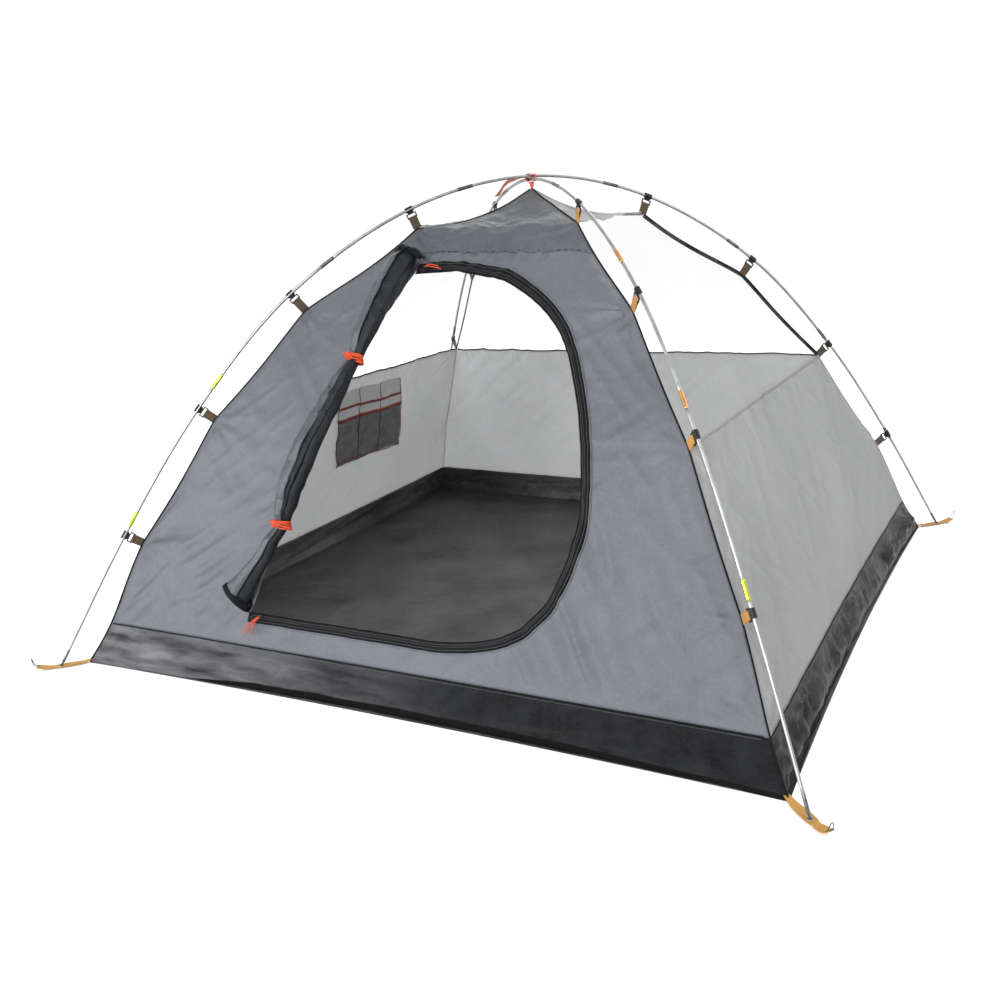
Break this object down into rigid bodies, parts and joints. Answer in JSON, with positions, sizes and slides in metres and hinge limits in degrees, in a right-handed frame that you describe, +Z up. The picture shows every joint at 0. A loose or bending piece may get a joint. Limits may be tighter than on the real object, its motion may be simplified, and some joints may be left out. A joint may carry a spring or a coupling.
{
  "type": "dome tent",
  "caption": "Free-standing dome tent body on two crossing segmented poles, with clip hangers, see-through upper walls, a dark bathtub floor and a D-shaped door rolled to one side.",
  "frame": {"origin": "on the ground at the middle of the floor", "axes": "+Z up, the door faces -Y, +X to the right of someone looking at the door"},
  "size_m": [2.3042, 2.2492, 1.3112],
  "materials": {
    "grey_fabric": "woven nylon, dull",
    "light_fabric": "woven nylon, thin and pale",
    "fine_mesh": "fine see-through insect mesh",
    "coated_tub": "coated nylon, satin",
    "coated_floor": "coated nylon, satin",
    "zip_tape": "woven tape with a coil zip",
    "rolled_fabric": "mesh and nylon rolled together",
    "pull_cord": "braided cord",
    "aluminium_pole": "anodised, satin",
    "ochre_webbing": "woven webbing",
    "dark_mesh": "dark mesh with a red binding",
    "red_ribbon": "woven ribbon"
  },
  "bodies": {
    "tent": {"apex_ribbon": "red_ribbon", "corner_webbing_back_left": "ochre_webbing", "corner_webbing_back_right": "ochre_webbing", "corner_webbing_front_left": "ochre_webbing", "corner_webbing_front_right": "ochre_webbing", "door_zip": "zip_tape", "floor": "coated_floor", "front_wall": "grey_fabric", "front_yoke": "grey_fabric", "gear_pocket": "dark_mesh", "lower_wall_back": "light_fabric", "lower_wall_left": "light_fabric", "lower_wall_right": "light_fabric", "mesh_wall_back": "fine_mesh", "mesh_wall_left": "fine_mesh", "mesh_wall_right": "fine_mesh", "pole_a_section_1": "aluminium_pole", "pole_a_section_2": "aluminium_pole", "pole_a_section_3": "aluminium_pole", "pole_a_section_4": "aluminium_pole", "pole_a_section_5": "aluminium_pole", "pole_a_section_6": "aluminium_pole", "pole_a_section_7": "aluminium_pole", "pole_a_section_8": "aluminium_pole", "pole_a_section_9": "aluminium_pole", "pole_b_section_1": "aluminium_pole", "pole_b_section_2": "aluminium_pole", "pole_b_section_3": "aluminium_pole", "pole_b_section_4": "aluminium_pole", "pole_b_section_5": "aluminium_pole", "pole_b_section_6": "aluminium_pole", "pole_b_section_7": "aluminium_pole", "pole_b_section_8": "aluminium_pole", "pole_b_section_9": "aluminium_pole", "roof_mesh": "fine_mesh", "tub_back": "coated_tub", "tub_front": "coated_tub", "tub_left": "coated_tub", "tub_right": "coated_tub"},
    "hanger_back_left_1": {"hanger_back_left_1": "ochre_webbing"},
    "hanger_back_left_2": {"hanger_back_left_2": "ochre_webbing"},
    "hanger_back_left_3": {"hanger_back_left_3": "ochre_webbing"},
    "hanger_back_left_4": {"hanger_back_left_4": "ochre_webbing"},
    "hanger_back_right_1": {"hanger_back_right_1": "ochre_webbing"},
    "hanger_back_right_2": {"hanger_back_right_2": "ochre_webbing"},
    "hanger_back_right_3": {"hanger_back_right_3": "ochre_webbing"},
    "hanger_back_right_4": {"hanger_back_right_4": "ochre_webbing"},
    "hanger_front_left_1": {"hanger_front_left_1": "ochre_webbing"},
    "hanger_front_left_2": {"hanger_front_left_2": "ochre_webbing"},
    "hanger_front_left_3": {"hanger_front_left_3": "ochre_webbing"},
    "hanger_front_left_4": {"hanger_front_left_4": "ochre_webbing"},
    "hanger_front_right_1": {"hanger_front_right_1": "ochre_webbing"},
    "hanger_front_right_2": {"hanger_front_right_2": "ochre_webbing"},
    "hanger_front_right_3": {"hanger_front_right_3": "ochre_webbing"},
    "hanger_front_right_4": {"hanger_front_right_4": "ochre_webbing"},
    "door_roll": {"rolled_door": "rolled_fabric"},
    "zip_slider_top": {"zip_slider_top": "pull_cord"},
    "zip_slider_bottom": {"zip_slider_bottom": "pull_cord"}
  },
  "joints": [
    {"name": "hanger_back_left_1_swing", "type": "hinge", "parent": "tent", "child": "hanger_back_left_1", "pos_m": [-0.88408, 0.86252, 0.33989], "axis": [-0.3976, 0.3879, -0.8316], "range_deg": [0, 60]},
    {"name": "hanger_back_left_2_swing", "type": "hinge", "parent": "tent", "child": "hanger_back_left_2", "pos_m": [-0.70906, 0.69177, 0.67712], "axis": [-0.4583, 0.4471, -0.7682], "range_deg": [0, 60]},
    {"name": "hanger_back_left_3_swing", "type": "hinge", "parent": "tent", "child": "hanger_back_left_3", "pos_m": [-0.50235, 0.4901, 0.96402], "axis": [-0.5624, 0.5486, -0.6186], "range_deg": [0, 60]},
    {"name": "hanger_back_left_4_swing", "type": "hinge", "parent": "tent", "child": "hanger_back_left_4", "pos_m": [-0.25537, 0.24914, 1.17247], "axis": [-0.669, 0.6526, -0.3557], "range_deg": [0, 60]},
    {"name": "hanger_back_right_1_swing", "type": "hinge", "parent": "tent", "child": "hanger_back_right_1", "pos_m": [0.88408, 0.86252, 0.33989], "axis": [0.3976, 0.3879, -0.8316], "range_deg": [0, 60]},
    {"name": "hanger_back_right_2_swing", "type": "hinge", "parent": "tent", "child": "hanger_back_right_2", "pos_m": [0.70906, 0.69177, 0.67712], "axis": [0.4582, 0.4471, -0.7682], "range_deg": [0, 60]},
    {"name": "hanger_back_right_3_swing", "type": "hinge", "parent": "tent", "child": "hanger_back_right_3", "pos_m": [0.50229, 0.49003, 0.96409], "axis": [0.562, 0.5483, -0.6193], "range_deg": [0, 60]},
    {"name": "hanger_back_right_4_swing", "type": "hinge", "parent": "tent", "child": "hanger_back_right_4", "pos_m": [0.25414, 0.24794, 1.17318], "axis": [0.6651, 0.6489, -0.3696], "range_deg": [0, 60]},
    {"name": "hanger_front_left_1_swing", "type": "hinge", "parent": "tent", "child": "hanger_front_left_1", "pos_m": [-0.88408, -0.86252, 0.33989], "axis": [-0.3976, -0.3879, -0.8316], "range_deg": [0, 60]},
    {"name": "hanger_front_left_2_swing", "type": "hinge", "parent": "tent", "child": "hanger_front_left_2", "pos_m": [-0.70906, -0.69177, 0.67712], "axis": [-0.4582, -0.4471, -0.7682], "range_deg": [0, 60]},
    {"name": "hanger_front_left_3_swing", "type": "hinge", "parent": "tent", "child": "hanger_front_left_3", "pos_m": [-0.50229, -0.49003, 0.96409], "axis": [-0.562, -0.5483, -0.6193], "range_deg": [0, 60]},
    {"name": "hanger_front_left_4_swing", "type": "hinge", "parent": "tent", "child": "hanger_front_left_4", "pos_m": [-0.25414, -0.24794, 1.17318], "axis": [-0.6651, -0.6489, -0.3696], "range_deg": [0, 60]},
    {"name": "hanger_front_right_1_swing", "type": "hinge", "parent": "tent", "child": "hanger_front_right_1", "pos_m": [0.88408, -0.86252, 0.33989], "axis": [0.3976, -0.3879, -0.8316], "range_deg": [0, 60]},
    {"name": "hanger_front_right_2_swing", "type": "hinge", "parent": "tent", "child": "hanger_front_right_2", "pos_m": [0.70906, -0.69177, 0.67712], "axis": [0.4583, -0.4471, -0.7682], "range_deg": [0, 60]},
    {"name": "hanger_front_right_3_swing", "type": "hinge", "parent": "tent", "child": "hanger_front_right_3", "pos_m": [0.50235, -0.4901, 0.96402], "axis": [0.5624, -0.5486, -0.6186], "range_deg": [0, 60]},
    {"name": "hanger_front_right_4_swing", "type": "hinge", "parent": "tent", "child": "hanger_front_right_4", "pos_m": [0.25537, -0.24914, 1.17247], "axis": [0.669, -0.6526, -0.3557], "range_deg": [0, 60]},
    {"name": "door_swing", "type": "hinge", "parent": "tent", "child": "door_roll", "pos_m": [-0.326, -0.64798, 0.6265], "axis": [0.268, 0.5062, 0.8197], "range_deg": [0, 55]},
    {"name": "zip_slider_top_travel", "type": "slide", "parent": "tent", "child": "zip_slider_top", "axis": [1, 0, 0], "range_m": [0, 0.12]},
    {"name": "zip_slider_bottom_travel", "type": "slide", "parent": "tent", "child": "zip_slider_bottom", "axis": [1, 0, 0], "range_m": [0, 0.4]}
  ]
}
